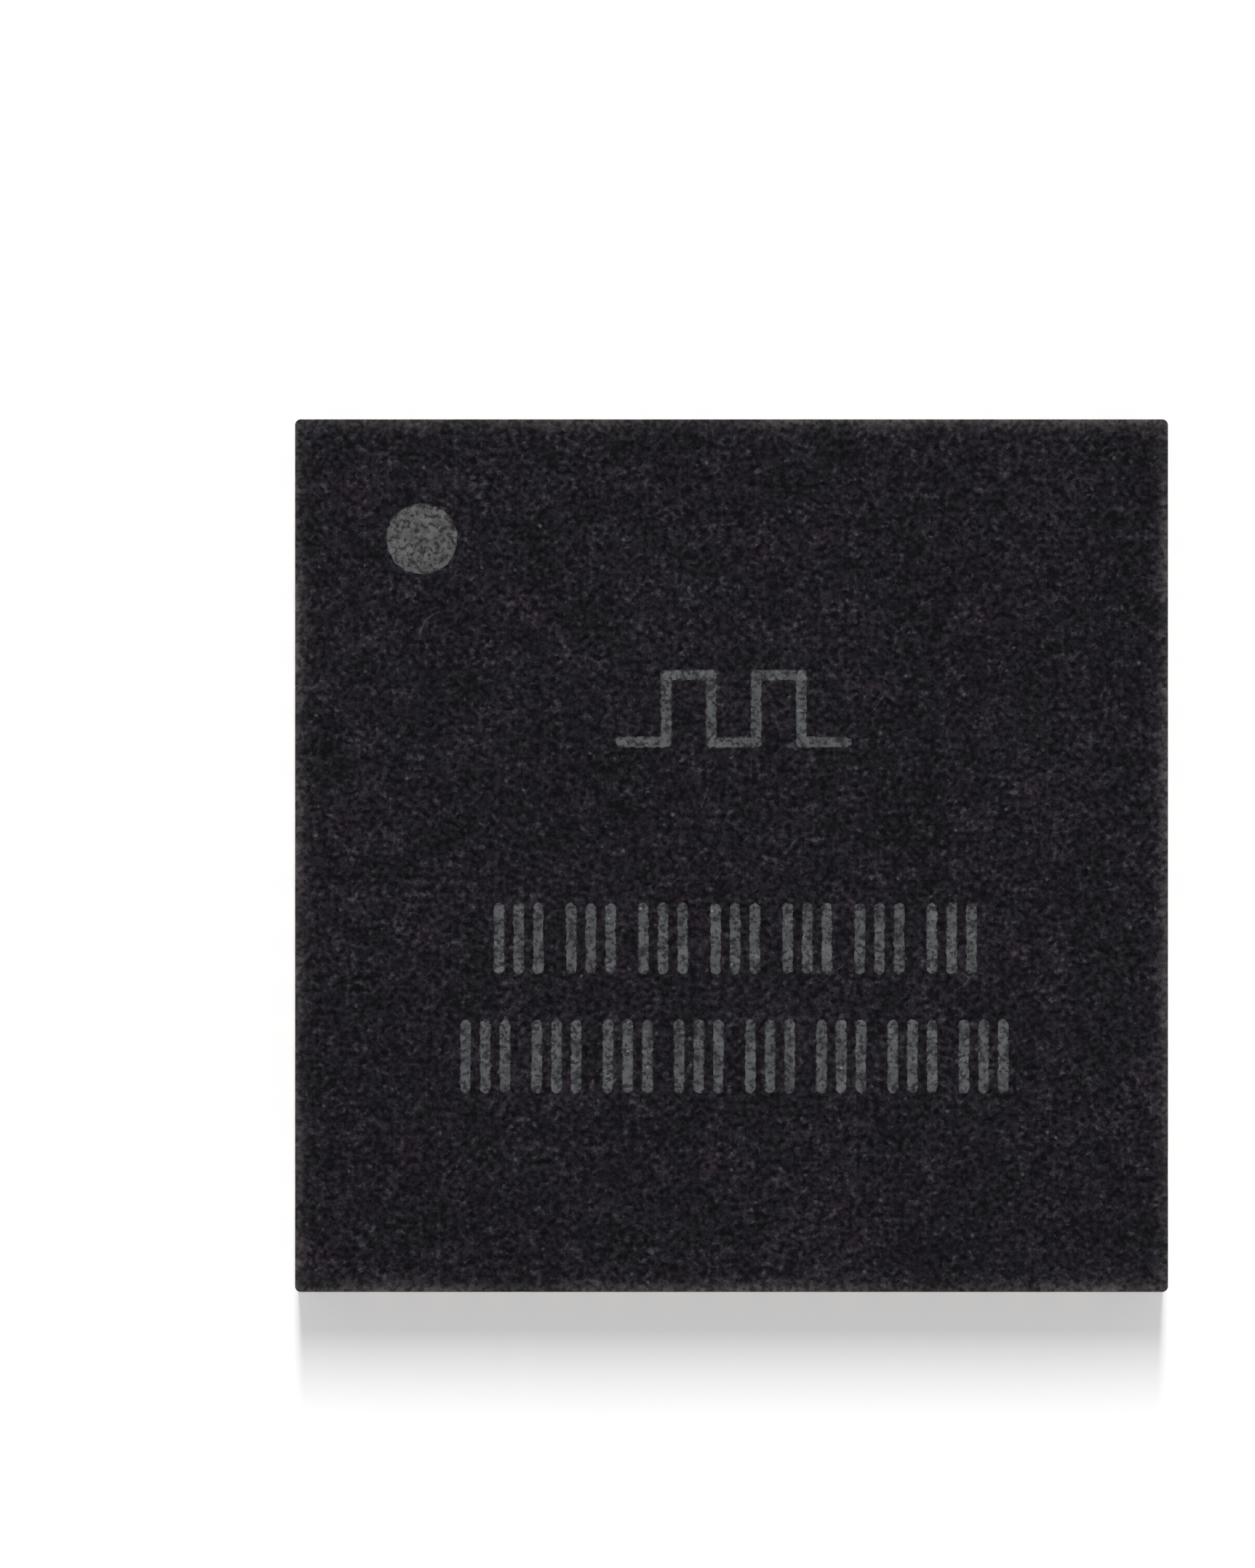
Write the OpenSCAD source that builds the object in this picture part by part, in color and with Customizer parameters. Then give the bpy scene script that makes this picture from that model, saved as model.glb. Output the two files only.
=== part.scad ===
// Flat no-lead power control chip: a moulded square block, sawn on four sides,
// with bottom lands all round and one large heat pad. Millimetres.
// The solder plane is z = 0 and the marked face is up. Pin 1 sits at -X, +Y
// and the leads count counter-clockwise seen from above.

/* [Moulded body] */
// Height from the solder plane to the marked face
body_height = 0.9; // [0.75:0.05:1.2]
// How far the metal stands proud of the moulding underneath
standoff = 0.02; // [0.01:0.005:0.05]
// Radius on the four sawn upright corners
body_corner_radius = 0.04; // [0.02:0.01:0.08]
// Distance from the middle of the end lead of a row to the body's side
corner_margin = 0.6; // [0.56:0.01:0.75]

/* [Pin 1 dot] */
// Diameter of the burnt dot
dot_diameter = 0.49; // [0.3:0.01:0.6]
// Depth of the dot below the marked face
dot_depth = 0.015; // [0.01:0.005:0.04]
// Middle of the dot from the side that carries lead 1
dot_from_side = 0.87; // [0.6:0.01:1.2]
// Middle of the dot from the side that carries the last lead
dot_from_end = 0.82; // [0.6:0.01:1.2]

/* [Leads] */
// Leads along each side
leads_per_side = 13; // [9:1:14]
// Distance between neighbouring leads
lead_pitch = 0.4; // [0.36:0.01:0.5]
// Width of a lead
lead_width = 0.22; // [0.16:0.01:0.26]
// Length of the solder land from the sawn side to its round tip
lead_length = 0.32; // [0.28:0.01:0.4]
// How far the thinned tongue of a lead reaches on into the moulding
tongue_reach = 0.08; // [0.04:0.01:0.11]
// Tip radius of the four pairs of leads that are cut back beside the corners
end_tip_radius = 0.07; // [0.05:0.005:0.075]

/* [Copper frame] */
// Thickness of the copper sheet
frame_thickness = 0.2; // [0.15:0.01:0.25]
// Thickness left where the sheet is etched away from below
etched_thickness = 0.1; // [0.06:0.01:0.12]
// Gap between the land tips and the heat pad
land_gap = 0.31; // [0.26:0.01:0.45]
// Corner radius of the heat pad
pad_corner_radius = 0.08; // [0.04:0.01:0.2]
// Bevel on the heat pad's corner at pin 1
pad_bevel = 0.35; // [0.25:0.01:0.6]
// Width of the thinned rim round the heat pad
rim_reach = 0.08; // [0.04:0.01:0.12]
// Width of the bars that tie the pad to the four corners
tie_bar_width = 0.2; // [0.12:0.01:0.24]
// Clear space between a tie bar and the bevelled end leads
tie_bar_clearance = 0.14; // [0.1:0.01:0.17]

/* [Die] */
// Side of the square die
die_side = 3.2; // [2.4:0.1:3.8]
// Thickness of the die
die_thickness = 0.25; // [0.15:0.01:0.28]
// Thickness of the glue under the die
attach_thickness = 0.025; // [0.015:0.005:0.04]
// How far the glue shows round the die
attach_margin = 0.06; // [0.03:0.01:0.15]

/* [Bond wires] */
// Diameter of a bond wire
wire_diameter = 0.025; // [0.018:0.001:0.03]
// Distance between neighbouring bonds on the die
bond_pitch = 0.22; // [0.12:0.01:0.23]
// Bonds on the die from the die's own edge
bond_inset = 0.1; // [0.07:0.01:0.2]
// Height of the neck above the die, where the bend starts
wire_rise = 0.07; // [0.05:0.005:0.09]
// Diameter of the stiff neck that the ball leaves under the bend
neck_diameter = 0.034; // [0.032:0.001:0.045]
// Bend radius of the loop on its middle line
loop_radius = 0.05; // [0.04:0.005:0.06]
// Diameter of the squashed ball on the die
ball_diameter = 0.07; // [0.05:0.005:0.08]
// Height of the squashed ball
ball_height = 0.015; // [0.01:0.001:0.02]
// Diameter of the pressed end on the lead
stitch_diameter = 0.06; // [0.04:0.005:0.08]
// Height of the pressed end
stitch_height = 0.008; // [0.005:0.001:0.015]
// Middle of the pressed end from the sawn side
stitch_inset = 0.17; // [0.12:0.01:0.18]

/* [Hidden] */
$fn = 48;
wire_facets = 16;
// How far a cut runs past the face that it opens
past = 0.3;
half_row = (leads_per_side - 1) / 2;
lead_count = 4 * leads_per_side;
body_side = 2 * (half_row * lead_pitch + corner_margin);
pad_side = body_side - 2 * (lead_length + land_gap);
etched_floor = frame_thickness - etched_thickness;
die_floor = frame_thickness + attach_thickness;
die_top = die_floor + die_thickness;
// Where the bevel of an end lead would meet the lead's middle line
bevel_reach = corner_margin - sqrt(2) * (tie_bar_width / 2 + tie_bar_clearance);

function lead_name(n) = str("lead_", n < 10 ? "0" : "", n);
// -1 or 1 for the first or last lead of a row, 0 for the others
function corner_dir(j) = j == 0 ? -1 : j == leads_per_side - 1 ? 1 : 0;

// Side 0 is -X, then counter-clockwise. On a side, x runs in counting order
// and y runs inwards from the sawn face.
module on_side(k) {
    rotate(90 * (k - 1)) translate([0, -body_side / 2, 0]) children();
}

module round_square(side, radius) {
    square([side, side - 2 * radius], center = true);
    square([side - 2 * radius, side], center = true);
    for (x = [-1, 1], y = [-1, 1])
        translate([x, y] * (side / 2 - radius)) circle(radius);
}

// Plan of one lead, with straight flanks and a round tip. The end leads are
// bevelled beside the tie bar. `grow` lengthens it, `over` runs past the saw cut.
module lead_plan(dir, grow, over) {
    w = lead_width / 2;
    if (dir == 0) {
        tip = lead_length + grow - w;
        translate([-w, -over]) square([2 * w, tip + over]);
        translate([0, tip]) circle(w);
    } else {
        r = end_tip_radius;
        reach = bevel_reach + grow;
        tip = reach - sqrt(2) * r - (r - w);
        mirror([dir < 0 ? 1 : 0, 0]) {
            polygon([[-w, -over], [w, -over], [w, reach - w],
                [r - w + r / sqrt(2), tip + r / sqrt(2)], [r - w, tip], [-w, tip]]);
            translate([r - w, tip]) circle(r);
        }
    }
}

// Lead n, counted from 0: a full-height land and a thinned tongue above it
module lead_shape(n, over = 0) {
    j = n % leads_per_side;
    on_side(floor(n / leads_per_side)) translate([(j - half_row) * lead_pitch, 0, 0]) {
        translate([0, 0, -over])
            linear_extrude(frame_thickness + over) lead_plan(corner_dir(j), 0, over);
        translate([0, 0, etched_floor])
            linear_extrude(etched_thickness) lead_plan(corner_dir(j), tongue_reach, over);
    }
}

module pad_plan(grow) {
    side = pad_side + 2 * grow;
    bevel = pad_bevel + (2 - sqrt(2)) * grow;
    difference() {
        round_square(side, pad_corner_radius + grow);
        translate([-side, side] / 2) rotate(45) square(sqrt(2) * bevel, center = true);
    }
}

// Heat pad with its thinned rim
module paddle_shape(over = 0) {
    translate([0, 0, -over]) linear_extrude(frame_thickness + over) pad_plan(0);
    translate([0, 0, etched_floor]) linear_extrude(etched_thickness) pad_plan(rim_reach);
}

module tie_bars() {
    for (a = [45, 135])
        rotate(a) translate([0, 0, etched_floor + etched_thickness / 2])
            cube([2 * body_side, tie_bar_width, etched_thickness], center = true);
}

// One bond wire in its own plane: ball, stiff neck, bend, slope and pressed end.
// x runs from the die to the lead and `drop` is the lead's height below the die.
module wire_loop(span, drop) {
    r = wire_diameter / 2;
    dx = span - loop_radius;
    dz = -drop - wire_rise;
    slope = sqrt(dx * dx + dz * dz - loop_radius * loop_radius);
    tilt = atan2(dz, dx) + atan2(slope, loop_radius);
    $fn = wire_facets;
    cylinder(h = ball_height, d = ball_diameter);
    cylinder(h = wire_rise + wire_diameter / 8, d = neck_diameter);
    translate([span, 0, -drop]) cylinder(h = stitch_height, d = stitch_diameter);
    difference() {
        translate([loop_radius, 0, wire_rise]) rotate([90, 0, 0]) rotate(tilt) {
            rotate_extrude(angle = 180 - tilt) translate([loop_radius, 0]) circle(r);
            translate([loop_radius, 0, 0]) rotate([90, 0, 0])
                cylinder(h = slope + 2 * wire_diameter, r = r);
        }
        translate([span, 0, -drop - past / 2]) cube(past, center = true);
    }
}

module wire_at(k, j) {
    from = [(j - half_row) * bond_pitch, (body_side - die_side) / 2 + bond_inset];
    to = [(j - half_row) * lead_pitch, stitch_inset];
    on_side(k) translate([from[0], from[1], die_top])
        rotate(atan2(to[1] - from[1], to[0] - from[0]))
            wire_loop(norm(to - from), die_top - frame_thickness);
}

module bond_wires() {
    color([0.83, 0.62, 0.22])
        for (k = [0 : 3], j = [0 : leads_per_side - 1]) wire_at(k, j);
}

module lead(n) {
    color([0.72, 0.71, 0.68]) lead_shape(n);
}

module die_paddle() {
    color([0.8, 0.8, 0.79]) {
        paddle_shape();
        intersection() {
            tie_bars();
            linear_extrude(frame_thickness) round_square(body_side, body_corner_radius);
        }
    }
}

module die_attach() {
    color([0.75, 0.74, 0.7])
        translate([0, 0, frame_thickness + attach_thickness / 2])
            cube([die_side + 2 * attach_margin, die_side + 2 * attach_margin, attach_thickness],
                center = true);
}

module silicon_die() {
    color([0.3, 0.32, 0.36])
        translate([0, 0, die_floor + die_thickness / 2])
            cube([die_side, die_side, die_thickness], center = true);
}

// The block, hollowed by everything that it was moulded round
module mould_body() {
    color([0.13, 0.12, 0.14])
        difference() {
            translate([0, 0, standoff]) linear_extrude(body_height - standoff)
                round_square(body_side, body_corner_radius);
            for (n = [0 : lead_count - 1]) lead_shape(n, past);
            paddle_shape(past);
            tie_bars();
            die_attach();
            silicon_die();
            bond_wires();
            translate([dot_from_side - body_side / 2, body_side / 2 - dot_from_end,
                body_height - dot_depth]) cylinder(h = past, d = dot_diameter);
        }
}

mould_body();
die_paddle();
silicon_die();
die_attach();
bond_wires();
for (n = [1 : lead_count])
    lead(n - 1);
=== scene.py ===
"""Power control chip lying on a white table with its marked face up, seen from straight above."""

import bpy
import numpy as np
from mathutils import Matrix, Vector


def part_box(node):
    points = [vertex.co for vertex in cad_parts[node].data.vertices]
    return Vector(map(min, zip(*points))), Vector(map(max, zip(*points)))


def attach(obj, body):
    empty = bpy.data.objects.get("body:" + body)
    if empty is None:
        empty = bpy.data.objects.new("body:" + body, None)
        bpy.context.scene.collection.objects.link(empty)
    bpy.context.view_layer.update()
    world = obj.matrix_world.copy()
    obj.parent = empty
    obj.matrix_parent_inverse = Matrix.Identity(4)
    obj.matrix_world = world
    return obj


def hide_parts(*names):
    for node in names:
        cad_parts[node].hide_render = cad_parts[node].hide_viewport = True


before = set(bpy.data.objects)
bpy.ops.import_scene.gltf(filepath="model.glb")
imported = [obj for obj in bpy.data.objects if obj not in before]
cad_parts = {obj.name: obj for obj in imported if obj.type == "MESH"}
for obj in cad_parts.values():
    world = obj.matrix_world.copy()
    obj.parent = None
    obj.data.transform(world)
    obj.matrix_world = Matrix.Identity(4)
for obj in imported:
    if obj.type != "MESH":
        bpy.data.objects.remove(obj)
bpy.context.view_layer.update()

MM = 1e-3
UM = 1e-6

# The photograph's frame, and the middle and side of the chip in its pixels
PHOTO_PX = (1725, 2156)
CHIP_MIDDLE_PX = (1005.5, 1176.5)
CHIP_SIDE_PX = 1200
LENS_MM = 300
SENSOR_MM = 36

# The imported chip: its block, a lead from inside a row and the end lead of a row
CHIP_LOW, CHIP_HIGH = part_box("mould_body")
HALF_SIDE = CHIP_HIGH.x
TOP = CHIP_HIGH.z
UNDERSIDE = CHIP_LOW.z
LAND_LOW, LAND_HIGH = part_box("lead_02")
LAND_HALF_WIDTH = (LAND_HIGH.y - LAND_LOW.y) / 2
SHEET = LAND_HIGH.z
END_LOW, END_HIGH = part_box("lead_01")
CORNER_MARGIN = HALF_SIDE - (END_LOW.y + END_HIGH.y) / 2
LEADS = [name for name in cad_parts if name.startswith("lead_")]

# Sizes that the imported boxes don't give
BODY_CORNER = 0.04 * MM
DOT_MIDDLE = np.array([-2.13, 2.18]) * MM
DOT_RADIUS = 0.245 * MM
DOT_DEPTH = 15 * UM
LAND_LENGTH = 0.32 * MM
LAND_GAP = 0.31 * MM
END_TIP_RADIUS = 0.07 * MM
PAD_HALF = HALF_SIDE - LAND_LENGTH - LAND_GAP
PAD_CORNER = 0.08 * MM
PAD_BEVEL = 0.35 * MM
TIE_BAR_WIDTH = 0.2 * MM
TIE_BAR_CLEARANCE = 0.14 * MM
ETCHED_FLOOR = 0.1 * MM
# Where the bevel of an end lead would meet the lead's middle line
BEVEL_REACH = CORNER_MARGIN - np.sqrt(2) * (TIE_BAR_WIDTH / 2 + TIE_BAR_CLEARANCE)
# How far in over the pad a tie bar starts
TIE_BAR_OVERLAP = 0.2 * MM

# The sawn block: the strip inside its top edge, the radius of that edge and of the foot with
# the noise on each, and the depth of the saw's chips and waves
SHOULDER = 0.06 * MM
EDGE_RADIUS = 8 * UM
EDGE_NOISE = 4 * UM
FOOT_RADIUS = 5 * UM
FOOT_NOISE = 2 * UM
CHIP_BITE = 44 * UM
SAW_WAVE = 1.2 * UM
# How far a sawn metal end stands proud of the sawn moulding
SMEAR = 2.5 * UM
# The most that a sawn flank flares, how far in the flare reaches, and the depth from the cut
# over which the ragged outline sets in
BURR = 32 * UM
BURR_REACH = 26 * UM
SAWN_HOLD = 20 * UM

# Longest step between the points of each outline
BLOCK_STEP = 20 * UM
LEAD_STEP = 9 * UM
BAR_STEP = 24 * UM
PAD_STEP = 26 * UM
STROKE_STEP = 7 * UM

# How far a burnt mark swells out of the face, how deep it is rooted, and its stroke's width
MARK_SWELL = 2.5 * UM
MARK_ROOT = 3 * UM
MARK_STROKE = 0.085 * MM
# Width of the rim in which a burnt mark fades into the moulding, and the burn at the dot's rim
BURN_FADE = 22 * UM
DOT_RIM_BURN = 0.4

# Each row of strokes: name, middle, height, left end and right end in mm, and groups of strokes
MARK_ROWS = (("burnt_row_upper", -0.57, 0.50, -1.64, 1.69, 7),
             ("burnt_row_lower", -1.38, 0.52, -1.87, 1.91, 8))
# Strokes in a group, and the step between them in mm
GROUP_STROKES = 3
GROUP_STROKE_STEP = 0.135
# The square wave: left and right end, low and high level in mm, and number of pulses
PULSE_ENDS = (-0.76, 0.79)
PULSE_LEVELS = (0.78, 1.24)
PULSES = 2

# Heights of the key lamps in degrees, and the strength and width in degrees of each kind of lamp
KEY_RISES = np.linspace(44, 69.5, 8)
KEY_STRENGTH = 0.3275
KEY_SPREAD = 5
UNDER_STRENGTH = 1.0
UNDER_SPREAD = 40
ROOM_STRENGTH = 0.3
# Half the table's side in metres, and its own glow
TABLE_HALF = 0.15
TABLE_GLOW = 0.42

# Lattice points along each side of the random table behind the noise
LATTICE = 61


def value_noise(x, y, cell, seed):
    """Smooth noise from -1 to 1: random heights on a lattice of `cell`, blended by 3t^2 - 2t^3."""
    table = np.random.default_rng(seed).uniform(-1, 1, (LATTICE, LATTICE))
    i = np.floor(x / cell).astype(int)
    j = np.floor(y / cell).astype(int)
    tx = x / cell - i
    ty = y / cell - j
    tx = tx * tx * (3 - 2 * tx)
    ty = ty * ty * (3 - 2 * ty)
    left = i % LATTICE
    right = (i + 1) % LATTICE
    low = j % LATTICE
    high = (j + 1) % LATTICE
    near = table[left, low] * (1 - tx) + table[right, low] * tx
    far = table[left, high] * (1 - tx) + table[right, high] * tx
    return near * (1 - ty) + far * ty


def arc(centre, radius, start, end, count=17):
    """Points at centre + radius (cos a, sin a), with a from `start` to `end` degrees."""
    a = np.radians(np.linspace(start, end, count))
    return np.stack([centre[0] + radius * np.cos(a), centre[1] + radius * np.sin(a)], axis=-1)


def through(points, step):
    """Closed outline through all `points`, with each run cut into equal parts of up to `step`."""
    run = np.roll(points, -1, axis=0) - points
    parts = np.ceil(np.hypot(*run.T) / step).astype(int)
    index = np.repeat(np.arange(len(points)), parts)
    share = (np.arange(len(index)) - (np.cumsum(parts) - parts)[index]) / parts[index]
    return points[index] + share[:, None] * run[index]


def outward(outline):
    """Unit normals of a counter-clockwise outline: its tangent, turned a quarter to the right."""
    tangent = np.roll(outline, -1, axis=0) - np.roll(outline, 1, axis=0)
    normal = np.stack([tangent[:, 1], -tangent[:, 0]], axis=-1)
    return normal / np.linalg.norm(normal, axis=1, keepdims=True)


def ragged(outline, amount, cell, seed, hold=0):
    """Outline pushed in and out by `amount` of noise, less where the mask `hold` nears 1."""
    push = amount * value_noise(outline[:, 0], outline[:, 1], cell, seed)
    return outline + outward(outline) * (push * (1 - hold))[:, None]


def rounded_square(half, radius, bevel=0):
    """Counter-clockwise square with an arc at each corner.

    A bevel replaces the arc at the pin 1 corner by a 45 degree cut between two half arcs.
    """
    inner = half - radius
    corners = [arc((x * inner, y * inner), radius, turn, turn + 90)
               for x, y, turn in ((1, 1, 0), (-1, 1, 90), (-1, -1, 180), (1, -1, 270))]
    if bevel:
        ease = radius * np.tan(np.radians(22.5))
        corners[1] = np.vstack([arc((bevel - half + ease, inner), radius, 90, 135),
                                arc((-inner, half - bevel - ease), radius, 135, 180)])
    return np.vstack(corners)


def at_height(plan, z):
    """Row of points with the x and y of a plan, and one z for all or a z for each."""
    return np.column_stack([plan, np.broadcast_to(z, len(plan))])


def closed_skin(rows, poles, face_up):
    """Points of rows, joined round and row to row, with a pole at each end, and their faces.

    The faces come in three blocks: the fan at the first pole, the quads, and the last fan.
    """
    v, u, _ = rows.shape
    here = np.arange(v * u).reshape(v, u)
    beside = np.roll(here, -1, axis=1)
    quads = np.stack([here[:-1], beside[:-1], beside[1:], here[1:]], axis=-1).reshape(-1, 4)
    first = np.stack([np.full(u, v * u), beside[0], here[0]], axis=-1)
    last = np.stack([np.full(u, v * u + 1), here[-1], beside[-1]], axis=-1)
    turn = -1 if face_up else 1
    return np.vstack([rows.reshape(-1, 3), poles]), [f[:, ::turn] for f in (first, quads, last)]


def rough_slab(outline, face_z, back_z, shares, edge, relief, cell, seed):
    """Slab with a rough face.

    The face has a ring at each of the `shares` of the way from its middle to its outline. It
    is hollowed by relief times (1 + noise) / 2 and a finer (1 + noise) / 5, rounds over by a
    quarter circle of radius `edge`, and runs straight to a flat back.
    """
    up = 1 if face_z > back_z else -1
    middle = outline.mean(axis=0)
    inset = outline - outward(outline) * edge
    quarter = np.radians(np.array([30, 60, 90]))[:, None, None]
    face = middle + np.reshape(shares, (-1, 1, 1)) * (inset - middle)
    rim = inset + np.sin(quarter) * (outline - inset)
    plan = np.concatenate([face, rim, outline[None], inset[None]])
    x = plan[:, :, 0]
    y = plan[:, :, 1]
    hollow = relief * (1 + value_noise(x, y, cell, seed)) / 2
    hollow += relief * (1 + value_noise(x, y, cell / 3, seed + 1)) / 5
    z = face_z - up * hollow
    z[len(face):-2] -= up * edge * (1 - np.cos(quarter[:, :, 0]))
    z[-2:] = back_z
    rows = np.concatenate([plan, z[:, :, None]], axis=-1)
    return closed_skin(rows, [[*middle, z[0].mean()], [*middle, back_z]], up > 0)


def piece(name, skins, materials, nodes=(), face_slots=None, burn=None):
    """One finished piece from closed skins, riding on the chip and standing for its nodes.

    `burn` gives each point how far the laser has burnt it, from 0 to 1.
    """
    faces = []
    start = 0
    for points, blocks in skins:
        for block in blocks:
            faces += (block + start).tolist()
        start += len(points)
    mesh = bpy.data.meshes.new(name)
    mesh.from_pydata(np.vstack([points for points, _ in skins]), [], faces)
    for material in materials:
        mesh.materials.append(material)
    if face_slots is not None:
        mesh.polygons.foreach_set("material_index", face_slots)
    if burn is not None:
        mesh.attributes.new("burn", "FLOAT", "POINT").data.foreach_set("value", burn)
    mesh.polygons.foreach_set("use_smooth", np.ones(len(faces), dtype=bool))
    mesh.set_sharp_from_angle(angle=np.radians(50))
    mesh.update()
    made = bpy.data.objects.new(name, mesh)
    bpy.context.collection.objects.link(made)
    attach(made, "root")
    if nodes:
        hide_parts(*nodes)


# Shader helpers


def add_node(tree, kind, inputs=None, **settings):
    """Node with its settings, whose inputs are set to values or joined to sockets."""
    made = tree.nodes.new(kind)
    for key, value in settings.items():
        setattr(made, key, value)
    for key, value in (inputs or {}).items():
        if isinstance(value, bpy.types.NodeSocket):
            tree.links.new(value, made.inputs[key])
        else:
            made.inputs[key].default_value = value
    return made


def maths(tree, operation, first, second=0.0):
    """Result of one sum on two values or sockets."""
    return add_node(tree, "ShaderNodeMath", {0: first, 1: second}, operation=operation).outputs[0]


def times(tree, first, *others):
    """Product of values or sockets."""
    for other in others:
        first = maths(tree, "MULTIPLY", first, other)
    return first


def ramp(tree, value, low, high, start=0.0, end=1.0):
    """Value carried smoothly from low..high to start..end, and held there beyond."""
    return add_node(tree, "ShaderNodeMapRange", {
        "Value": value, "From Min": low, "From Max": high, "To Min": start, "To Max": end,
    }, interpolation_type="SMOOTHSTEP").outputs["Result"]


def mixed(tree, share, first, second):
    """Colour that goes from the first to the second as the share goes from 0 to 1."""
    # The node's sockets share their names, so its colours go by number: 6 and 7 in, 2 out
    made = add_node(tree, "ShaderNodeMix", {0: share, 6: first, 7: second}, data_type="RGBA")
    return made.outputs[2]


def noise(tree, vector, scale, detail=2.0, rough=0.55):
    """Noise value with `scale` cells to the metre."""
    return add_node(tree, "ShaderNodeTexNoise", {
        "Vector": vector, "Scale": scale, "Detail": detail, "Roughness": rough}).outputs[0]


def cells(tree, vector, scale):
    """Distance from the middle of a random cell, and the cell's own random value."""
    made = add_node(tree, "ShaderNodeTexVoronoi", {"Vector": vector, "Scale": scale})
    parts = add_node(tree, "ShaderNodeSeparateColor", {"Color": made.outputs["Color"]})
    return made.outputs["Distance"], parts.outputs[0]


def srgb(red, green, blue):
    """Linear colour of a screen colour given in 0 to 255."""
    screen = np.array([red, green, blue]) / 255
    linear = np.where(screen <= 0.04045, screen / 12.92, ((screen + 0.055) / 1.055) ** 2.4)
    return (*linear.tolist(), 1.0)


def shader_group(name, inputs, values, colours=()):
    """Empty shader group: a vector and named values go in, named values and colours come out."""
    tree = bpy.data.node_groups.new(name, "ShaderNodeTree")
    tree.interface.new_socket("Vector", in_out="INPUT", socket_type="NodeSocketVector")
    for socket, value in inputs.items():
        made = tree.interface.new_socket(socket, in_out="INPUT", socket_type="NodeSocketFloat")
        made.default_value = value
    for socket in values:
        tree.interface.new_socket(socket, in_out="OUTPUT", socket_type="NodeSocketFloat")
    for socket in colours:
        tree.interface.new_socket(socket, in_out="OUTPUT", socket_type="NodeSocketColor")
    given = tree.nodes.new("NodeGroupInput").outputs
    return tree, given, tree.nodes.new("NodeGroupOutput").inputs


def filler_grain_group():
    """Grain of about 1/Scale metres, with flecks, pits, a slow cloud and a tint, all 0 to 1.

    The grain is a noise and the random tones of cells, both clustered by a coarser noise.
    Pits are the lows of the noise. Flecks are a few small ragged spots.
    """
    tree, given, result = shader_group(
        "filler_grain", {"Scale": 3e4}, ("Grain", "Flecks", "Pits", "Cloud", "Tint"))
    vector = given["Vector"]
    scale = given["Scale"]
    raw = noise(tree, vector, times(tree, scale, 0.7), 4.0, 0.6)
    _, tones = cells(tree, vector, scale)
    spread = ramp(tree, raw, 0.25, 0.75)
    both = maths(tree, "ADD", times(tree, spread, 0.6), times(tree, tones, 0.4))
    cluster = noise(tree, vector, times(tree, scale, 0.16), 3.0, 0.6)
    grouped = times(tree, both, ramp(tree, cluster, 0.3, 0.7, 0.85, 1.15))
    tree.links.new(maths(tree, "MINIMUM", grouped, 1.0), result["Grain"])
    tree.links.new(ramp(tree, raw, 0.45, 0.28), result["Pits"])
    away, picked = cells(tree, vector, times(tree, scale, 0.5))
    torn = maths(tree, "ADD", away, times(tree, raw, 0.9))
    fleck = times(tree, ramp(tree, torn, 0.8, 0.5), ramp(tree, picked, 0.86, 1.0))
    tree.links.new(times(tree, fleck, ramp(tree, both, 0.3, 0.65)), result["Flecks"])
    slow = noise(tree, vector, times(tree, scale, 0.03), 3.0)
    tree.links.new(ramp(tree, slow, 0.3, 0.7), result["Cloud"])
    tint = noise(tree, vector, times(tree, scale, 0.06), 4.0, 0.7)
    tree.links.new(ramp(tree, tint, 0.3, 0.7), result["Tint"])
    return tree


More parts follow.
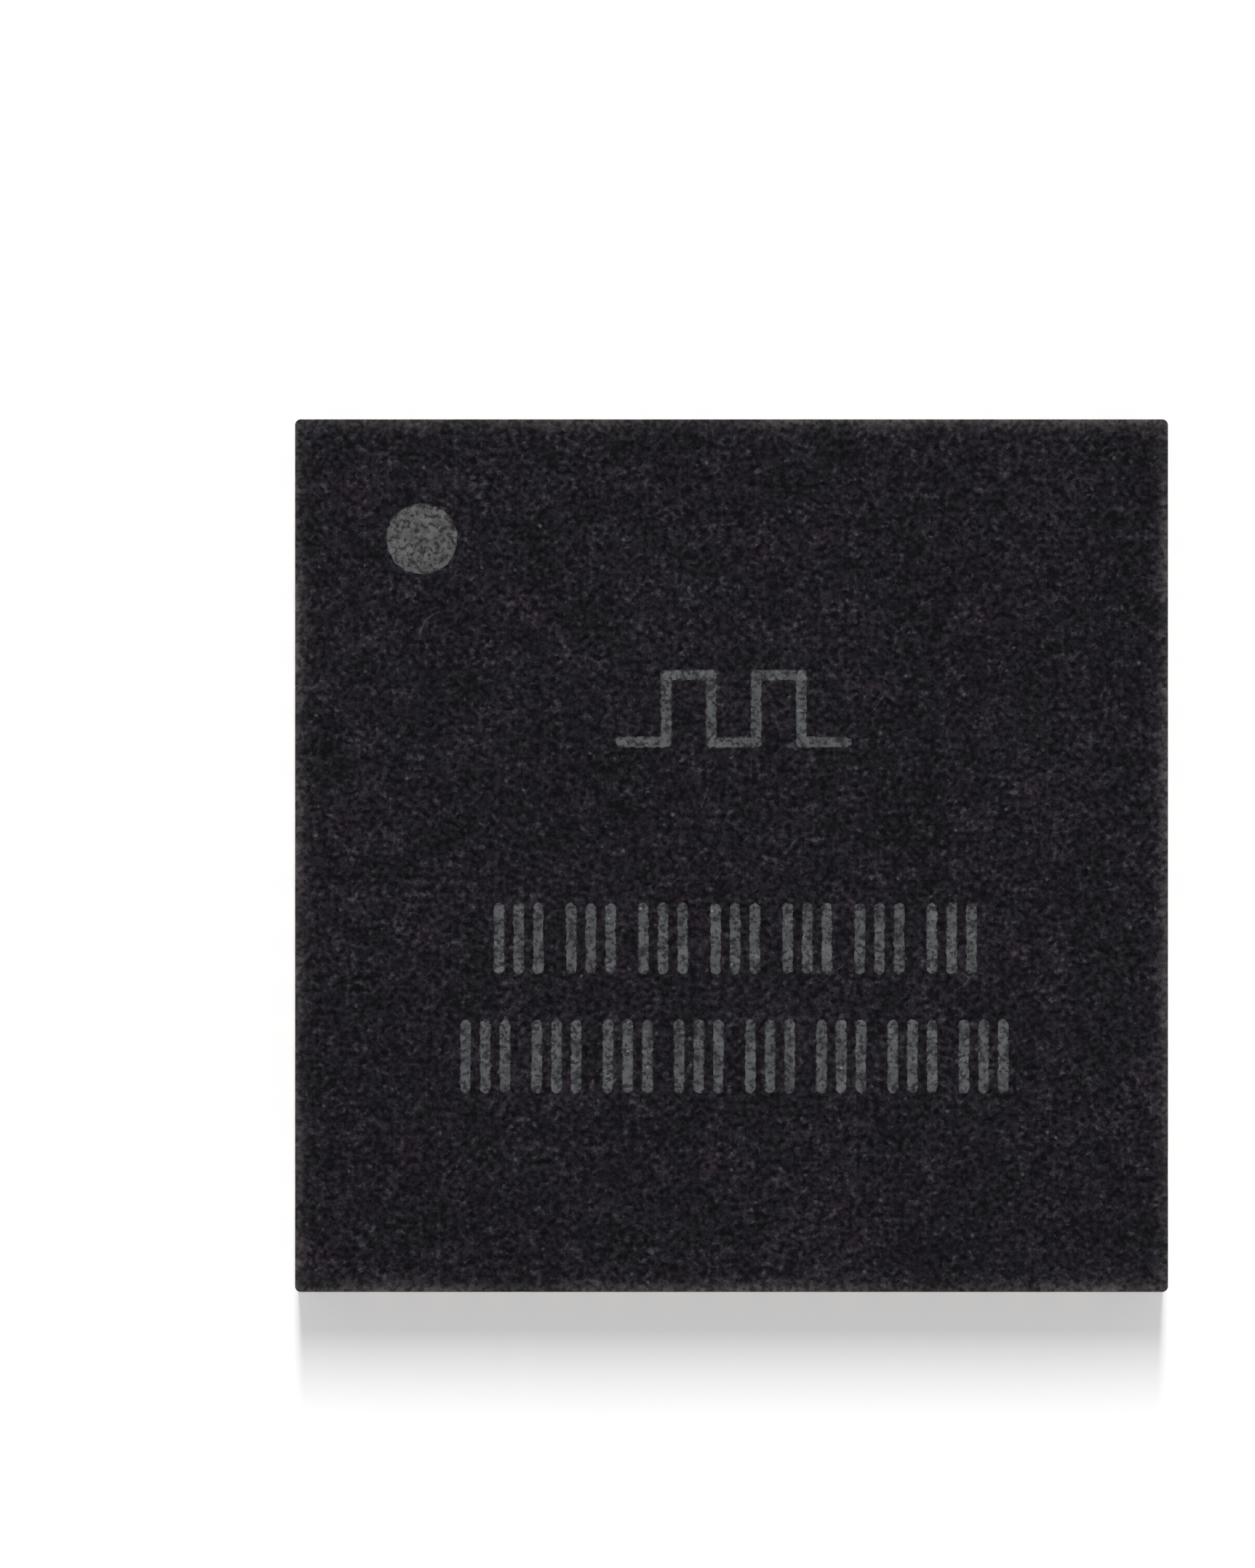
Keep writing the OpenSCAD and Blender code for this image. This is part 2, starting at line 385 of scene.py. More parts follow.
def sawn_side_group():
    """Signs of the saw, from the depth inside the sawn outline, a square with round corners.

    The depth is the corner radius less the distance from the square of the corners' middles.
    Band is 1 at the outline and gone at Width inside, with a ragged limit. Proud is 1 on what
    stands out of the outline. Cut is a noise drawn out along the side, for the saw's marks, and
    Copper is bare copper with those marks.
    """
    tree, given, result = shader_group("sawn_side", {"Width": 0.05 * MM, "Ragged": 0.04 * MM},
                                       ("Band", "Proud", "Cut"), colours=("Copper",))
    axes = add_node(tree, "ShaderNodeSeparateXYZ", {"Vector": given["Vector"]}).outputs
    reach = [maths(tree, "ABSOLUTE", axis) for axis in axes[:2]]
    past = [maths(tree, "SUBTRACT", axis, HALF_SIDE - BODY_CORNER) for axis in reach]
    past_both = add_node(tree, "ShaderNodeCombineXYZ", {
        0: maths(tree, "MAXIMUM", past[0], 0.0), 1: maths(tree, "MAXIMUM", past[1], 0.0)})
    out = add_node(tree, "ShaderNodeVectorMath", {0: past_both.outputs[0]}, operation="LENGTH")
    short = maths(tree, "MINIMUM", maths(tree, "MAXIMUM", past[0], past[1]), 0.0)
    inside = maths(tree, "SUBTRACT", BODY_CORNER, maths(tree, "ADD", out.outputs["Value"], short))
    shake = maths(tree, "SUBTRACT", noise(tree, given["Vector"], 1.6e4, 4.0, 0.7), 0.5)
    worn = maths(tree, "ADD", inside, times(tree, shake, given["Ragged"]))
    band = maths(tree, "SUBTRACT", 1.0, maths(tree, "DIVIDE", worn, given["Width"]))
    tree.links.new(maths(tree, "MINIMUM", maths(tree, "MAXIMUM", band, 0.0), 1.0), result["Band"])
    tree.links.new(ramp(tree, inside, -0.3 * UM, -1.5 * UM), result["Proud"])
    across = maths(tree, "GREATER_THAN", reach[0], reach[1])
    run = add_node(tree, "ShaderNodeMix", {0: across, 2: axes[0], 3: axes[1]}).outputs[0]
    drawn_out = add_node(tree, "ShaderNodeCombineXYZ", {
        0: times(tree, run, 2.5e3), 1: times(tree, axes[2], 4.5e4), 2: across})
    cut = ramp(tree, noise(tree, drawn_out.outputs[0], 1.0, 4.0, 0.65), 0.3, 0.7)
    tree.links.new(cut, result["Cut"])
    tree.links.new(mixed(tree, cut, srgb(92, 62, 47), srgb(170, 120, 92)), result["Copper"])
    return tree


def streak_group():
    """Long scratches: noise on coordinates that are stretched by Along and Across, from 0 to 1."""
    tree, given, result = shader_group("streaks", {"Along": 1e3, "Across": 6e4}, ("Streaks",))
    stretch = add_node(tree, "ShaderNodeCombineXYZ", {
        0: given["Along"], 1: given["Across"], 2: given["Across"]})
    vector = add_node(tree, "ShaderNodeVectorMath", {
        0: given["Vector"], 1: stretch.outputs[0]}, operation="MULTIPLY").outputs[0]
    tree.links.new(ramp(tree, noise(tree, vector, 1.0, 3.0, 0.6), 0.3, 0.7), result["Streaks"])
    return tree


FILLER_GRAIN = filler_grain_group()
SAWN_SIDE = sawn_side_group()
STREAKS = streak_group()


def use_group(tree, group, vector, **values):
    """Outputs of a shader group, with its vector joined and its values set."""
    inputs = {"Vector": vector, **values}
    return add_node(tree, "ShaderNodeGroup", inputs, node_tree=group).outputs


def new_material(name, fixed):
    """Material with a Principled shader, its even values set, and the object coordinates."""
    made = bpy.data.materials.new(name)
    made.use_nodes = True
    tree = made.node_tree
    shader = tree.nodes["Principled BSDF"]
    for socket, value in fixed.items():
        shader.inputs[socket].default_value = value
    place = add_node(tree, "ShaderNodeTexCoord").outputs["Object"]
    return made, tree, shader, place


def finish_shader(tree, shader, colour, roughness, height, depth):
    """Joins the colour, the roughness and a bump of the given depth in metres to the shader."""
    bump = add_node(tree, "ShaderNodeBump", {"Height": height, "Distance": depth, "Strength": 1.0})
    tree.links.new(colour, shader.inputs["Base Color"])
    tree.links.new(roughness, shader.inputs["Roughness"])
    tree.links.new(bump.outputs["Normal"], shader.inputs["Normal"])


def grained_mould(tree, grain):
    """Near-black moulding that goes to grey by grain^2, with paler single grains and flecks."""
    tone = maths(tree, "POWER", grain["Grain"], 2.0)
    tone = times(tree, tone, ramp(tree, grain["Cloud"], 0.0, 1.0, 0.75, 1.0))
    dark = mixed(tree, grain["Tint"], srgb(4, 5, 6), srgb(6, 4, 8))
    pale = mixed(tree, grain["Tint"], srgb(52, 52, 59), srgb(59, 51, 61))
    glint = times(tree, ramp(tree, grain["Grain"], 0.74, 1.0), 0.19)
    colour = mixed(tree, glint, mixed(tree, tone, dark, pale), srgb(97, 95, 99))
    return mixed(tree, grain["Flecks"], colour, srgb(86, 83, 87))


def worn_edge_and_highlight(tree, grain, edge):
    """Share of pale wear and painted highlight along the sawn edges.

    It is band^4, broken by the grain and the cloud.
    """
    by_grain = ramp(tree, grain["Grain"], 0.2, 0.8, 0.3, 1.0)
    by_cloud = ramp(tree, grain["Cloud"], 0.2, 0.8, 0.55, 1.1)
    return times(tree, maths(tree, "POWER", edge["Band"], 4.0), by_grain, by_cloud)


def hairlines(tree, place, grain):
    """Share of a few short hairlines, which lie where a slow noise crosses its middle."""
    bend = maths(tree, "SUBTRACT", noise(tree, place, 700), 0.5)
    line = ramp(tree, maths(tree, "ABSOLUTE", bend), 0.0016, 0.0004)
    line = times(tree, line, ramp(tree, noise(tree, place, 2.2e3), 0.58, 0.68))
    return times(tree, line, ramp(tree, grain["Grain"], 0.2, 0.7, 0.1, 0.4))


def streaked_underside(tree, place):
    """Fine grey grain by grain^2, with flecks and long dark drag streaks."""
    fine = use_group(tree, FILLER_GRAIN, place, Scale=5.5e4)
    drag = use_group(tree, STREAKS, place, Along=2.5e2, Across=1.3e4)
    tone = maths(tree, "POWER", fine["Grain"], 2.0)
    colour = mixed(tree, tone, srgb(12, 12, 15), srgb(97, 96, 103))
    colour = mixed(tree, fine["Flecks"], colour, srgb(120, 119, 122))
    streak = times(tree, ramp(tree, drag["Streaks"], 0.5, 0.12), 0.75)
    return mixed(tree, streak, colour, srgb(16, 15, 19))


def mould_compound():
    """Near-black moulding with grey filler grain.

    The marked face has pale edges, partly wear and partly a painted highlight, and hairlines, the
    walls have saw marks, and the underside has dark streaks. Each is told from the others by its
    height.
    """
    made, tree, shader, place = new_material("mould_compound", {"Specular IOR Level": 0.05})
    grain = use_group(tree, FILLER_GRAIN, place, Scale=3.5e4)
    edge = use_group(tree, SAWN_SIDE, place, Width=0.2 * MM, Ragged=0.09 * MM)
    height = add_node(tree, "ShaderNodeSeparateXYZ", {"Vector": place}).outputs[2]
    below = ramp(tree, height, UNDERSIDE + 12 * UM, UNDERSIDE + 2 * UM)
    on_top = ramp(tree, height, TOP - 20 * UM, TOP - 4 * UM)
    on_wall = maths(tree, "SUBTRACT", 1.0, maths(tree, "MAXIMUM", below, on_top))
    colour = grained_mould(tree, grain)
    # Pale rim along the top edge: partly wear, partly a painted highlight on the rounded edge
    wear_and_highlight = times(tree, worn_edge_and_highlight(tree, grain, edge), on_top)
    colour = mixed(tree, wear_and_highlight, colour, srgb(86, 82, 82))
    lines = times(tree, hairlines(tree, place, grain), on_top)
    colour = mixed(tree, lines, colour, srgb(90, 88, 91))
    colour = mixed(tree, below, colour, streaked_underside(tree, place))
    sawn = mixed(tree, edge["Cut"], srgb(24, 23, 26), srgb(64, 62, 65))
    colour = mixed(tree, times(tree, on_wall, 0.7), colour, sawn)
    roughness = ramp(tree, grain["Grain"], 0.0, 1.0, 0.82, 0.62)
    rise = maths(tree, "ADD", grain["Grain"], times(tree, edge["Cut"], on_wall))
    finish_shader(tree, shader, colour, roughness, rise, 2.0 * UM)
    return made


def burnt_mark(name, dull, pale):
    """Moulding burnt pale by the laser: mottled grey with dark pits, fading out at its rim."""
    made, tree, shader, place = new_material(name, {"Specular IOR Level": 0.05})
    grain = use_group(tree, FILLER_GRAIN, place, Scale=4.5e4)
    coarse = use_group(tree, FILLER_GRAIN, place, Scale=1.6e4)
    colour = mixed(tree, coarse["Grain"], dull, pale)
    colour = mixed(tree, grain["Flecks"], colour, srgb(146, 145, 144))
    pits = times(tree, ramp(tree, grain["Grain"], 0.6, 0.22), 0.85)
    colour = mixed(tree, pits, colour, srgb(38, 37, 39))
    burn = add_node(tree, "ShaderNodeAttribute", attribute_name="burn").outputs["Fac"]
    broken = maths(tree, "ADD", burn, times(tree, grain["Grain"], 0.5))
    colour = mixed(tree, ramp(tree, broken, 0.1, 0.95), srgb(33, 31, 35), colour)
    roughness = ramp(tree, grain["Grain"], 0.0, 1.0, 0.95, 0.8)
    finish_shader(tree, shader, colour, roughness, grain["Grain"], 3.0 * UM)
    return made


def rough_tin():
    """Crumpled grey tin with a darker brown band at the sawn side, and bare copper on the sawn end.

    Its mottle is partly the tin's own tone and partly painted light and shade on the crumples,
    with painted shade in the creases.
    """
    made, tree, shader, place = new_material("rough_tin", {"Metallic": 0.85})
    grain = use_group(tree, FILLER_GRAIN, place, Scale=4.5e4)
    crumple_tone_and_shade = use_group(tree, FILLER_GRAIN, place, Scale=2.4e4)
    edge = use_group(tree, SAWN_SIDE, place, Width=0.085 * MM, Ragged=0.16 * MM)
    # Tone of the tin, partly its own mottle and partly painted light and shade: paler where the
    # bump stands higher
    colour = mixed(tree, crumple_tone_and_shade["Grain"], srgb(100, 98, 93), srgb(214, 212, 206))
    colour = mixed(tree, times(tree, grain["Grain"], 0.5), colour, srgb(188, 186, 181))
    colour = mixed(tree, times(tree, crumple_tone_and_shade["Tint"], 0.3), colour, srgb(122, 119, 112))
    # Painted shade in the creases: the lows of the crumple noise are darkened
    colour = mixed(tree, times(tree, crumple_tone_and_shade["Pits"], 0.8), colour, srgb(88, 84, 76))
    # Darker brown band along the sawn side of each lead, ragged at its inner limit
    sawn_side_brown = times(tree, ramp(tree, edge["Band"], 0.1, 0.5), 0.95)
    sawn_side_brown = times(tree, sawn_side_brown, ramp(tree, crumple_tone_and_shade["Tint"], 0.15, 0.85, 0.5, 1.0))
    colour = mixed(tree, sawn_side_brown, colour, srgb(88, 76, 69))
    copper = mixed(tree, times(tree, crumple_tone_and_shade["Tint"], 0.5), edge["Copper"], srgb(104, 84, 74))
    colour = mixed(tree, edge["Proud"], colour, copper)
    roughness = ramp(tree, grain["Grain"], 0.0, 1.0, 0.62, 0.42)
    finish_shader(tree, shader, colour, roughness, crumple_tone_and_shade["Grain"], 6.0 * UM)
    return made


def satin_tin():
    """Even satin tin with a fine speckle and faint rub marks, and bare copper where it is sawn."""
    made, tree, shader, place = new_material("satin_tin", {"Metallic": 0.85})
    grain = use_group(tree, FILLER_GRAIN, place, Scale=8.5e4)
    rub = use_group(tree, STREAKS, place, Along=1.2e3, Across=3e4)
    edge = use_group(tree, SAWN_SIDE, place)
    colour = mixed(tree, grain["Grain"], srgb(150, 148, 149), srgb(230, 228, 229))
    colour = mixed(tree, times(tree, grain["Cloud"], 0.25), colour, srgb(194, 191, 191))
    colour = mixed(tree, times(tree, rub["Streaks"], 0.08), colour, srgb(160, 158, 158))
    colour = mixed(tree, edge["Proud"], colour, edge["Copper"])
    roughness = ramp(tree, grain["Grain"], 0.0, 1.0, 0.5, 0.38)
    finish_shader(tree, shader, colour, roughness, grain["Grain"], 1.0 * UM)
    return made


def polished_silicon():
    """Blue-grey silicon with the faint ruled blocks of its circuit."""
    made, tree, shader, place = new_material("polished_silicon", {"Metallic": 0.6})
    grain = use_group(tree, FILLER_GRAIN, place, Scale=2e4)
    blocks = add_node(tree, "ShaderNodeTexBrick", {
        "Vector": place, "Scale": 4e3, "Color1": srgb(58, 64, 84), "Color2": srgb(86, 84, 96),
        "Mortar": srgb(120, 112, 92), "Mortar Size": 0.02}).outputs["Color"]
    colour = mixed(tree, times(tree, grain["Cloud"], 0.3), blocks, srgb(40, 46, 62))
    roughness = ramp(tree, grain["Grain"], 0.0, 1.0, 0.16, 0.24)
    finish_shader(tree, shader, colour, roughness, grain["Grain"], 0.1 * UM)
    return made


def silver_glue():
    """Grey glue full of silver flakes."""
    made, tree, shader, place = new_material("silver_glue", {"Metallic": 0.4})
    grain = use_group(tree, FILLER_GRAIN, place, Scale=6e4)
    colour = mixed(tree, grain["Grain"], srgb(150, 148, 142), srgb(190, 188, 182))
    colour = mixed(tree, grain["Flecks"], colour, srgb(232, 231, 228))
    roughness = ramp(tree, grain["Flecks"], 0.0, 1.0, 0.6, 0.3)
    finish_shader(tree, shader, colour, roughness, grain["Grain"], 1.5 * UM)
    return made


def drawn_gold():
    """Fine gold wire with the faint lines of the drawing die."""
    made, tree, shader, place = new_material("drawn_gold", {"Metallic": 1.0})
    lines = use_group(tree, STREAKS, place, Along=2e4, Across=2e5)
    colour = mixed(tree, lines["Streaks"], srgb(214, 170, 86), srgb(238, 200, 122))
    roughness = ramp(tree, lines["Streaks"], 0.0, 1.0, 0.2, 0.32)
    finish_shader(tree, shader, colour, roughness, lines["Streaks"], 0.2 * UM)
    return made


MOULD = mould_compound()
BURNT_DOT = burnt_mark("burnt_dot", srgb(66, 66, 67), srgb(110, 109, 109))
BURNT_STROKE = burnt_mark("burnt_stroke", srgb(61, 62, 64), srgb(103, 104, 106))
ROUGH_TIN = rough_tin()
SATIN_TIN = satin_tin()


def dot_rows(ray):
    """Rings of the burnt dot along `ray`: over its rough floor, up its wall and out to its lip."""
    rim = DOT_MIDDLE + ray * DOT_RADIUS
    rim += ray * 6 * UM * value_noise(rim[:, 0], rim[:, 1], 30 * UM, 11)[:, None]
    rows = []
    for share in (0.25, 0.5, 0.75, 0.91, 0.97):
        ring = DOT_MIDDLE + (rim - DOT_MIDDLE) * share
        rough = 3 * UM * value_noise(ring[:, 0], ring[:, 1], 35 * UM, 12)
        rows.append(at_height(ring, TOP - DOT_DEPTH + rough))
    return [*rows, at_height(rim, TOP - 2 * UM), at_height(rim + ray * 5 * UM, TOP)]


def sawn_rows(outline):
    """Rows over the top edge, down the sawn wall and round the foot.

    The top edge is a quarter circle whose radius wanders and bites deeper where the saw chipped
    it. The wall waves in and out by a noise, and the foot is a small quarter circle.
    """
    normal = outward(outline)
    x, y = outline.T
    chip = np.clip(value_noise(x, y, 0.16 * MM, 21) - 0.5, 0, None) * CHIP_BITE
    radius = EDGE_RADIUS + EDGE_NOISE * value_noise(x, y, 0.05 * MM, 22) + chip
    foot = FOOT_RADIUS + FOOT_NOISE * value_noise(x, y, 0.05 * MM, 23)
    rows = []
    for turn in np.radians((0, 22, 45, 68, 90)):
        plan = outline - normal * (radius * (1 - np.sin(turn)))[:, None]
        rows.append(at_height(plan, TOP - radius * (1 - np.cos(turn))))
    for share in np.linspace(0.06, 0.94, 12):
        z = (TOP - radius) * (1 - share) + (UNDERSIDE + foot) * share
        wave = SAW_WAVE * value_noise(x + y, 14 * z, 0.12 * MM, 24)
        rows.append(at_height(outline - normal * (SAW_WAVE + wave)[:, None], z))
    for turn in np.radians((0, 45, 90)):
        plan = outline - normal * (foot * (1 - np.cos(turn)))[:, None]
        rows.append(at_height(plan, UNDERSIDE + foot * (1 - np.sin(turn))))
    return rows


def moulded_block():
    """Moulded block as one profile carried round its sawn outline.

    The profile starts in the middle of the burnt dot, and spreads over the marked face from the
    dot's lip to the outline by straight rays. It then runs over the edge, down the sawn wall
    and in under the block.
    """
    outline = through(rounded_square(HALF_SIDE, BODY_CORNER), BLOCK_STEP)
    ray = outline - DOT_MIDDLE
    ray /= np.linalg.norm(ray, axis=1, keepdims=True)
    dot = dot_rows(ray)
    lip = dot[-1][:, :2]
    shoulder = outline * (1 - SHOULDER / HALF_SIDE)
    face = [at_height(lip + (shoulder - lip) * share, TOP)
            for share in (0.05, 0.15, 0.3, 0.5, 0.7, 0.85, 0.95, 1.0)]
    under = [at_height(outline * share, UNDERSIDE) for share in (0.98, 0.8, 0.5, 0.2)]
    rows = np.array([*dot, *face, *sawn_rows(outline), *under])
    poles = [[*DOT_MIDDLE, TOP - DOT_DEPTH], [0, 0, UNDERSIDE]]
    points, blocks = closed_skin(rows, poles, True)
    slots = np.zeros(sum(len(block) for block in blocks), dtype=np.int32)
    slots[:len(outline) * (len(dot) - 1)] = 1
    away = np.linalg.norm(points[:, :2] - DOT_MIDDLE, axis=1)
    burn = np.clip((DOT_RADIUS - away) / BURN_FADE + DOT_RIM_BURN, 0, 1)
    piece("moulded_block", [(points, blocks)], [MOULD, BURNT_DOT],
          ["mould_body"], slots, burn)


def land_outline(corner):
    """Plan of a lead beside the sawn side, at y = 0: straight flanks and a round inner tip.

    Beside a corner, at the side `corner` of +1 or -1, the flank slants at 45 degrees along
    x + y = reach, and a smaller tip circle touches it and the other flank.
    """
    w = LAND_HALF_WIDTH
    if corner == 0:
        return np.vstack([[[-w, -SMEAR], [w, -SMEAR]], arc((0, LAND_LENGTH - w), w, 0, 180)])
    r = END_TIP_RADIUS
    tip = (r - w, BEVEL_REACH - np.sqrt(2) * r - (r - w))
    points = np.vstack([[[-w, -SMEAR], [w, -SMEAR], [w, BEVEL_REACH - w]], arc(tip, r, 45, 180)])
    return points if corner > 0 else (points * [-1, 1])[::-1]


def sawn_burr(plan, seed):
    """Plan whose flanks flare at the saw cut by burr exp(-(y / reach)^2).

    The burr is random, and about one flank in three has any.
    """
    left, right = BURR * np.clip(np.random.default_rng(seed).uniform(-2, 1, 2), 0, None)
    flare = np.where(plan[:, 0] < 0, -left, right) * np.exp(-(plan[:, 1] / BURR_REACH) ** 2)
    share = np.abs(plan[:, :1]) / np.abs(plan[:, 0]).max()
    return plan + share * np.stack([flare, 0 * flare], axis=-1)


def tinned_leads():
    """Each lead as a rough tin slab, set by its own box: its sawn face out and its tip inwards."""
    for number, name in enumerate(LEADS):
        low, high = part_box(name)
        middle = np.array([(low.x + high.x) / 2, (low.y + high.y) / 2])
        axis = int(np.argmax(np.abs(middle)))
        out = np.zeros(2)
        out[axis] = np.sign(middle[axis])
        along = np.array([-out[1], out[0]])
        place = middle @ along
        corner = int(np.sign(place)) if HALF_SIDE - abs(place) < CORNER_MARGIN + UM else 0
        plan = through(land_outline(corner), LEAD_STEP)
        hold = np.clip(1 - plan[:, 1] / SAWN_HOLD, 0, 1)
        plan = ragged(plan, 9 * UM, 60 * UM, 100 + number, hold)
        plan = ragged(plan, 6 * UM, 22 * UM, 200 + number, hold)
        plan = sawn_burr(plan, 300 + number)
        world = out * HALF_SIDE + along * place - plan[:, 1:] * out + plan[:, :1] * along
        skin = rough_slab(world, 0, SHEET, np.linspace(1 / 9, 1, 9),
                          edge=6 * UM, relief=8 * UM, cell=45 * UM, seed=500 + number)
        piece(f"{name}_tin", [skin], [ROUGH_TIN], [name])


def tie_bar(turn):
    """Thinned bar along a diagonal, whose outer end follows the sawn corner of the block."""
    inner = HALF_SIDE - BODY_CORNER
    sawn = HALF_SIDE + SMEAR
    side = HALF_SIDE - TIE_BAR_WIDTH / np.sqrt(2)
    start = PAD_HALF - TIE_BAR_OVERLAP
    half = TIE_BAR_WIDTH / 2 / np.sqrt(2)
    plan = np.vstack([[[start - half, start + half], [start + half, start - half], [sawn, side]],
                      arc((inner, inner), BODY_CORNER + SMEAR, 0, 90), [[side, sawn]]])
    c = np.cos(np.radians(turn))
    s = np.sin(np.radians(turn))
    plan = through(plan, BAR_STEP) @ np.array([[c, s], [-s, c]])
    return rough_slab(plan, ETCHED_FLOOR, SHEET, np.linspace(1 / 4, 1, 4),
                      edge=4 * UM, relief=1 * UM, cell=50 * UM, seed=40 + turn)


def heat_pad():
    """Satin pad with a faintly ragged outline and its bevel at pin 1, and its four tie bars."""
    plan = through(rounded_square(PAD_HALF, PAD_CORNER, PAD_BEVEL), PAD_STEP)
    plan = ragged(plan, 5 * UM, 55 * UM, 31)
    pad = rough_slab(plan, 0, SHEET, np.linspace(1 / 24, 1, 24),
                     edge=6 * UM, relief=2 * UM, cell=120 * UM, seed=32)
    bars = [tie_bar(turn) for turn in (0, 90, 180, 270)]
    piece("heat_pad_tin", [pad, *bars], [SATIN_TIN], ["die_paddle"])


def burnt_stroke(start, end, seed):
    """Straight laser stroke with round ends, ragged sides and a swollen rough face, and its burn.

    The burn of a point is (half the stroke - its distance from the middle line) / fade.
    """
    length = np.linalg.norm(end - start)
    along = (end - start) / length
    across = np.array([-along[1], along[0]])
    half = MARK_STROKE / 2
    ends = [arc((length - half, 0), half * 0.9, -80, 80), arc((half, 0), half * 0.9, 100, 260)]
    plan = through(np.vstack(ends), STROKE_STEP)
    plan = start + plan[:, :1] * along + plan[:, 1:] * across
    plan = ragged(plan, 6 * UM, 30 * UM, seed)
    plan = ragged(plan, 6 * UM, 15 * UM, seed + 500)
    skin = rough_slab(plan, TOP + MARK_SWELL, TOP - MARK_ROOT, (0.35, 0.7, 0.92, 1),
                      edge=2 * UM, relief=2 * UM, cell=30 * UM, seed=seed + 1)
    offset = skin[0][:, :2] - start
    reach = np.clip(offset @ along, half, length - half)
    away = np.linalg.norm(offset - reach[:, None] * along, axis=1)
    return skin, np.clip((half - away) / BURN_FADE, 0, 1)


def burnt_strokes(name, starts, ends, seed):
    """One piece of several strokes, each from its start to its end."""
    strokes = [burnt_stroke(start, end, seed + number)
               for number, (start, end) in enumerate(zip(starts, ends))]
    piece(name, [skin for skin, _ in strokes], [BURNT_STROKE],
          burn=np.concatenate([burn for _, burn in strokes]))


def burnt_rows():
    """Plain rows of upright strokes in groups, burnt across the lower half of the face."""
    for row, (name, middle, tall, left, right, groups) in enumerate(MARK_ROWS):
        first = left + MARK_STROKE / MM / 2
        group_width = MARK_STROKE / MM + (GROUP_STROKES - 1) * GROUP_STROKE_STEP
        group_step = (right - left - group_width) / (groups - 1)
        group, stroke = np.divmod(np.arange(GROUP_STROKES * groups), GROUP_STROKES)
        x = first + group_step * group + GROUP_STROKE_STEP * stroke
        feet = np.stack([x, 0 * x + middle - tall / 2], axis=-1) * MM
        heads = np.stack([x, 0 * x + middle + tall / 2], axis=-1) * MM
        burnt_strokes(name, feet, heads, 1000 + 100 * row)


def burnt_pulse():
    """Plain square wave burnt above the rows, of straight strokes that overlap at the turns."""
    low, high = PULSE_LEVELS
    x = np.repeat(np.linspace(*PULSE_ENDS, 2 * PULSES + 2), 2)[1:-1]
    y = np.tile([low, low, high, high], PULSES + 1)[:len(x)]
    turns = np.stack([x, y], axis=-1) * MM
    run = np.diff(turns, axis=0)
    half = run / np.linalg.norm(run, axis=1, keepdims=True) * MARK_STROKE / 2
    burnt_strokes("burnt_pulse", turns[:-1] - half, turns[1:] + half, 1400)


def dress_inner_nodes():
    """Finishes of the pieces sealed in the moulding."""
    finishes = (("silicon_die", polished_silicon), ("die_attach", silver_glue),
                ("bond_wires", drawn_gold))
    for name, finish in finishes:
        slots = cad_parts[name].data.materials
        slots.clear()
        slots.append(finish())


def white_table():
    """Table that the camera sees from above only: white, with a faint soft shadow."""
    mesh = bpy.data.meshes.new("table")
    corners = [(x * TABLE_HALF, y * TABLE_HALF, 0) for x, y in ((-1, -1), (1, -1), (1, 1), (-1, 1))]
    mesh.from_pydata(corners, [], [(0, 1, 2, 3)])
    made = bpy.data.objects.new("table", mesh)
    bpy.context.collection.objects.link(made)
    material, tree, shader, place = new_material("white_table", {
        "Roughness": 0.9, "Specular IOR Level": 0.0,
        "Emission Color": (1, 1, 1, 1), "Emission Strength": TABLE_GLOW})
    mesh.materials.append(material)
    shade = mixed(tree, noise(tree, place, 400), srgb(209, 209, 209), srgb(213, 213, 213))
    tree.links.new(shade, shader.inputs["Base Color"])
    rays = add_node(tree, "ShaderNodeLightPath").outputs
    behind = add_node(tree, "ShaderNodeNewGeometry").outputs["Backfacing"]
    seen = times(tree, rays["Is Camera Ray"], maths(tree, "SUBTRACT", 1.0, behind))
    clear = add_node(tree, "ShaderNodeBsdfTransparent")
    blend = add_node(tree, "ShaderNodeMixShader", {
        0: seen, 1: clear.outputs[0], 2: shader.outputs[0]})
    tree.links.new(blend.outputs[0], tree.nodes["Material Output"].inputs["Surface"])


def soft_lamp(name, towards, strength, spread):
    """Distant lamp that shines along `towards` from a disc `spread` degrees across."""
    data = bpy.data.lights.new(name, "SUN")
    data.energy = strength
    data.angle = np.radians(spread)
    made = bpy.data.objects.new(name, data)
    made.rotation_euler = Vector(towards).to_track_quat("-Z", "Y").to_euler()
    bpy.context.collection.objects.link(made)
    return made


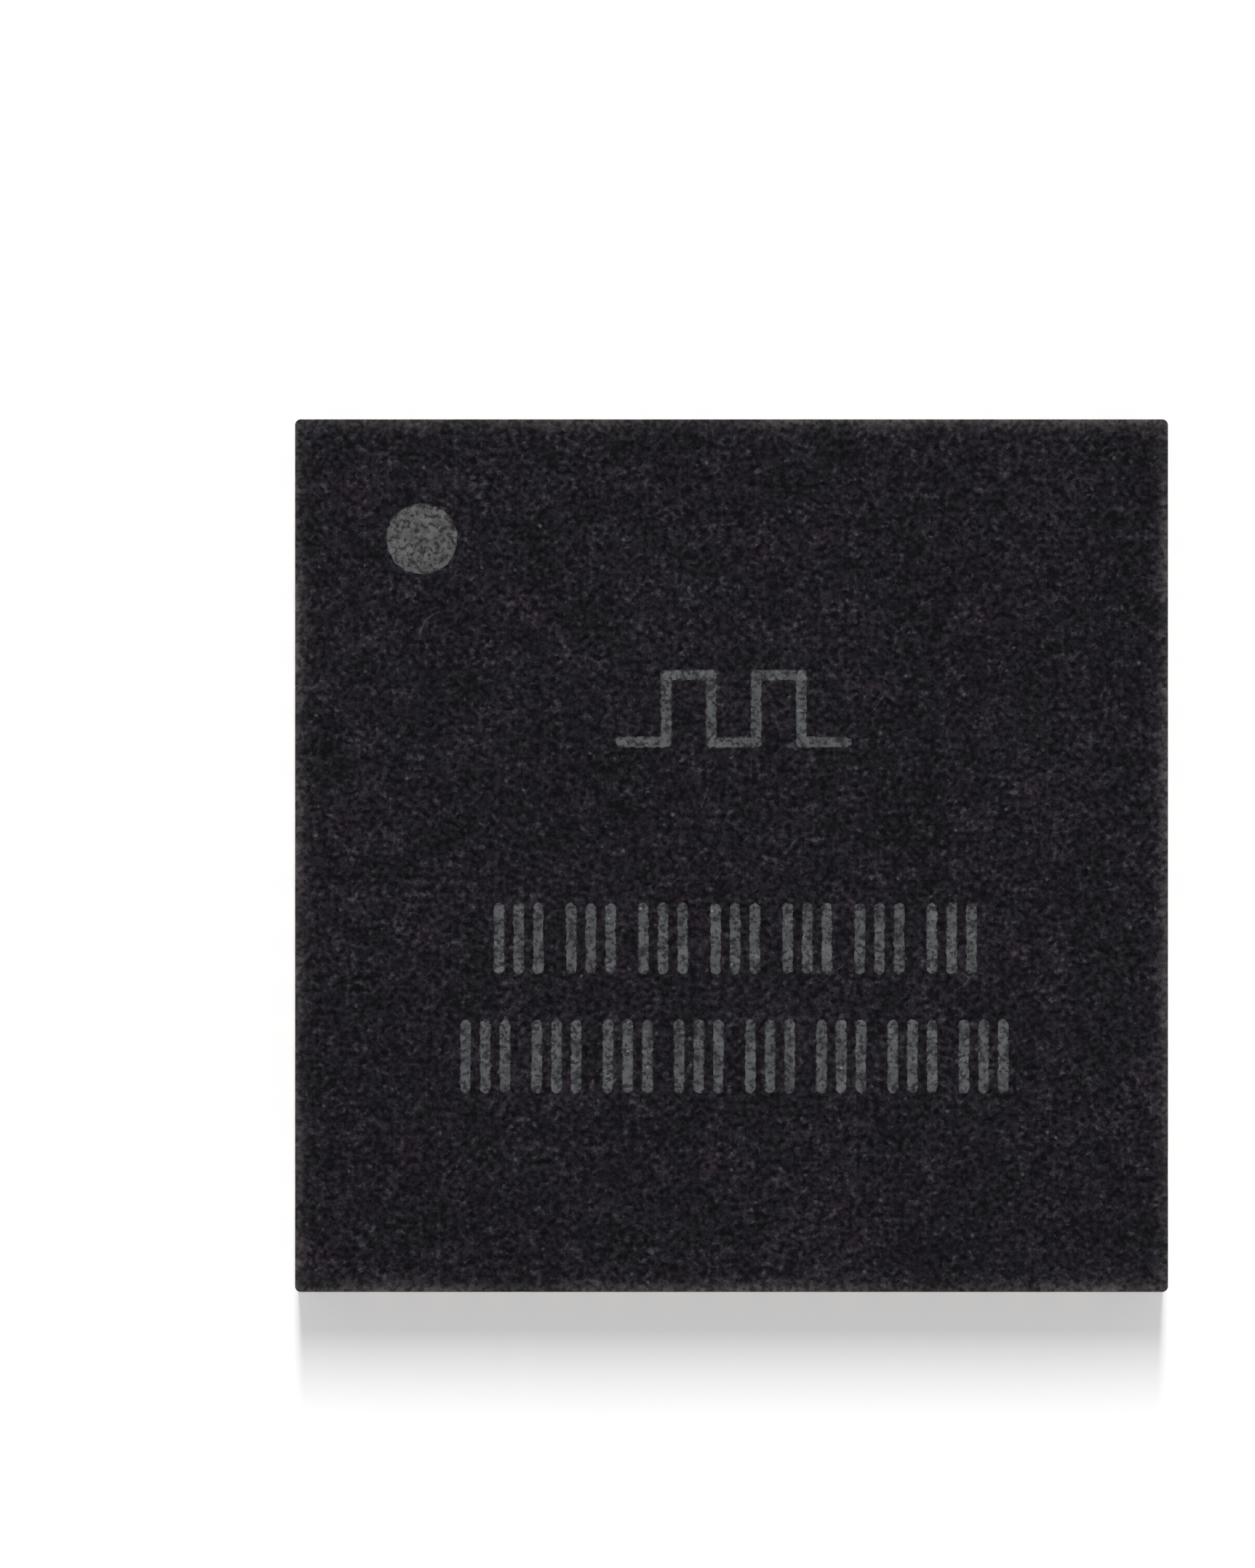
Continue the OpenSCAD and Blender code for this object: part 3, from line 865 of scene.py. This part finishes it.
def studio():
    """Even white room, a tall strip of key lamps behind the chip, and two soft lamps from below.

    The shadow of the strip falls straight to the front, with a long soft end. The lamps below
    leave no highlight, so the bright pad shows only the white room and keeps its grey.
    """
    world = bpy.data.worlds.new("white_room")
    bpy.context.scene.world = world
    world.use_nodes = True
    tree = world.node_tree
    room = tree.nodes["Background"]
    room.inputs["Strength"].default_value = ROOM_STRENGTH
    room.inputs["Color"].default_value = (1, 1, 1, 1)
    white = add_node(tree, "ShaderNodeBackground", {"Color": (1, 1, 1, 1), "Strength": 1.0})
    rays = add_node(tree, "ShaderNodeLightPath").outputs
    mirrored = maths(tree, "MAXIMUM", rays["Is Glossy Ray"], rays["Is Transmission Ray"])
    seen = maths(tree, "MAXIMUM", rays["Is Camera Ray"], mirrored)
    blend = add_node(tree, "ShaderNodeMixShader", {
        0: seen, 1: room.outputs[0], 2: white.outputs[0]})
    tree.links.new(blend.outputs[0], tree.nodes["World Output"].inputs["Surface"])
    for rise in KEY_RISES:
        turn = np.radians(rise)
        towards = (0, -np.cos(turn), -np.sin(turn))
        soft_lamp(f"key_lamp_{rise:.0f}", towards, KEY_STRENGTH, KEY_SPREAD)
    for name, across in (("left", 0.6), ("right", -0.6)):
        lamp = soft_lamp(f"under_lamp_{name}", (across, 0.35, 0.72), UNDER_STRENGTH, UNDER_SPREAD)
        lamp.visible_glossy = False
    bpy.context.scene.view_settings.view_transform = "Standard"


def camera():
    """Camera straight above, set so that the chip covers its own pixels of the photograph."""
    metres_per_px = 2 * HALF_SIDE / CHIP_SIDE_PX
    data = bpy.data.cameras.new("camera")
    data.lens = LENS_MM
    data.sensor_width = SENSOR_MM
    data.clip_start = 1 * MM
    data.clip_end = 1.0
    made = bpy.data.objects.new("camera", data)
    away = max(PHOTO_PX) * metres_per_px * LENS_MM / SENSOR_MM
    made.location = ((PHOTO_PX[0] / 2 - CHIP_MIDDLE_PX[0]) * metres_per_px,
                     (CHIP_MIDDLE_PX[1] - PHOTO_PX[1] / 2) * metres_per_px, TOP + away)
    bpy.context.collection.objects.link(made)
    bpy.context.scene.camera = made


camera()
studio()
white_table()
moulded_block()
tinned_leads()
heat_pad()
burnt_rows()
burnt_pulse()
dress_inner_nodes()
